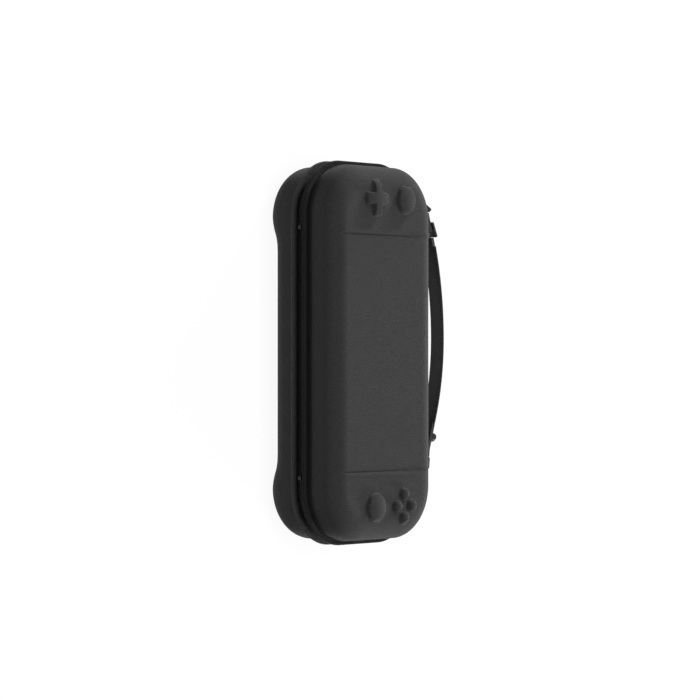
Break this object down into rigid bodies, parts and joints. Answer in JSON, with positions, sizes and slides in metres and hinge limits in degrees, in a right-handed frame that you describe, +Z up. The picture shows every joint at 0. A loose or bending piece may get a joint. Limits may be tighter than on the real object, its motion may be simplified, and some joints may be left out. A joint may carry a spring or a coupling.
{
  "type": "portable game console case",
  "caption": "Hard-shell zip case for a handheld console: embossed lid hinged on a cloth spine, deeper base with foam tray, webbing carry strap with a snap hook.",
  "frame": {"origin": "on the surface the case lies on, under the middle of its box", "axes": "+X along the case, +Y to the front with the carry strap, +Z up through the lid"},
  "size_m": [0.2626, 0.146, 0.0627],
  "materials": {
    "shell_cloth": "fine woven polyester over a moulded shell",
    "spine_cloth": "woven tape",
    "zip_tape_cloth": "woven tape",
    "zip_coil_nylon": "nylon coil",
    "zip_metal": "black lacquer",
    "webbing": "woven webbing",
    "hook_metal": "dark nickel plate",
    "black_plastic": "moulded",
    "stud_metal": "dark gunmetal",
    "lining_foam": "flocked foam",
    "lining_cloth": "brushed cloth",
    "hem_elastic": "ribbed elastic"
  },
  "bodies": {
    "base": {"base_shell": "shell_cloth", "spine_strip": "spine_cloth", "base_zip_tape": "zip_tape_cloth", "base_zip_coil": "zip_coil_nylon", "zip_stops": "zip_metal", "console_cradle": "lining_foam"},
    "lid": {"lid_shell": "shell_cloth", "lid_zip_tape": "zip_tape_cloth", "lid_zip_coil": "zip_coil_nylon", "pocket_panel": "lining_cloth", "pocket_hem": "hem_elastic", "front_card_sleeves": "lining_cloth", "rear_card_sleeves": "lining_cloth", "upper_anchor_tab": "webbing", "lower_anchor_tab": "webbing", "upper_ring": "hook_metal", "lower_ring": "hook_metal", "clasp_swivel": "hook_metal", "strap_ferrule": "black_plastic", "carry_strap": "webbing", "strap_stud": "stud_metal", "stud_screw": "stud_metal"},
    "hook": {"clasp_hook": "hook_metal", "trigger_pin": "hook_metal"},
    "trigger": {"clasp_trigger": "black_plastic"},
    "left_slider": {"left_slider": "zip_metal"},
    "right_slider": {"right_slider": "zip_metal"},
    "left_pull": {"left_pull": "zip_metal"},
    "right_pull": {"right_pull": "zip_metal"}
  },
  "joints": [
    {"name": "lid_hinge", "type": "hinge", "parent": "base", "child": "lid", "pos_m": [0, -0.07343, 0.0331], "axis": [1, 0, 0], "range_deg": [0, 180], "deforming": ["spine_strip"]},
    {"name": "left_slider_slide", "type": "slide", "parent": "base", "child": "left_slider", "axis": [-1, 0, 0], "range_m": [0, 0.062]},
    {"name": "right_slider_slide", "type": "slide", "parent": "base", "child": "right_slider", "axis": [1, 0, 0], "range_m": [0, 0.062]},
    {"name": "left_pull_swing", "type": "hinge", "parent": "left_slider", "child": "left_pull", "pos_m": [-0.006, 0.04812, 0.0331], "axis": [0, 0, -1], "range_deg": [0, 95]},
    {"name": "right_pull_swing", "type": "hinge", "parent": "right_slider", "child": "right_pull", "pos_m": [0.006, 0.04812, 0.0331], "axis": [0, 0, 1], "range_deg": [0, 95]},
    {"name": "clasp_swivel_turn", "type": "hinge", "parent": "lid", "child": "hook", "pos_m": [-0.09945, 0.05597, 0.0411], "axis": [0.9603, 0.279, 0], "range_deg": [-15, 15]},
    {"name": "clasp_trigger_press", "type": "hinge", "parent": "hook", "child": "trigger", "pos_m": [-0.09055, 0.06012, 0.0411], "axis": [0, 0, 1], "range_deg": [0, 14], "stiffness_Nm_per_rad": 0.02}
  ]
}
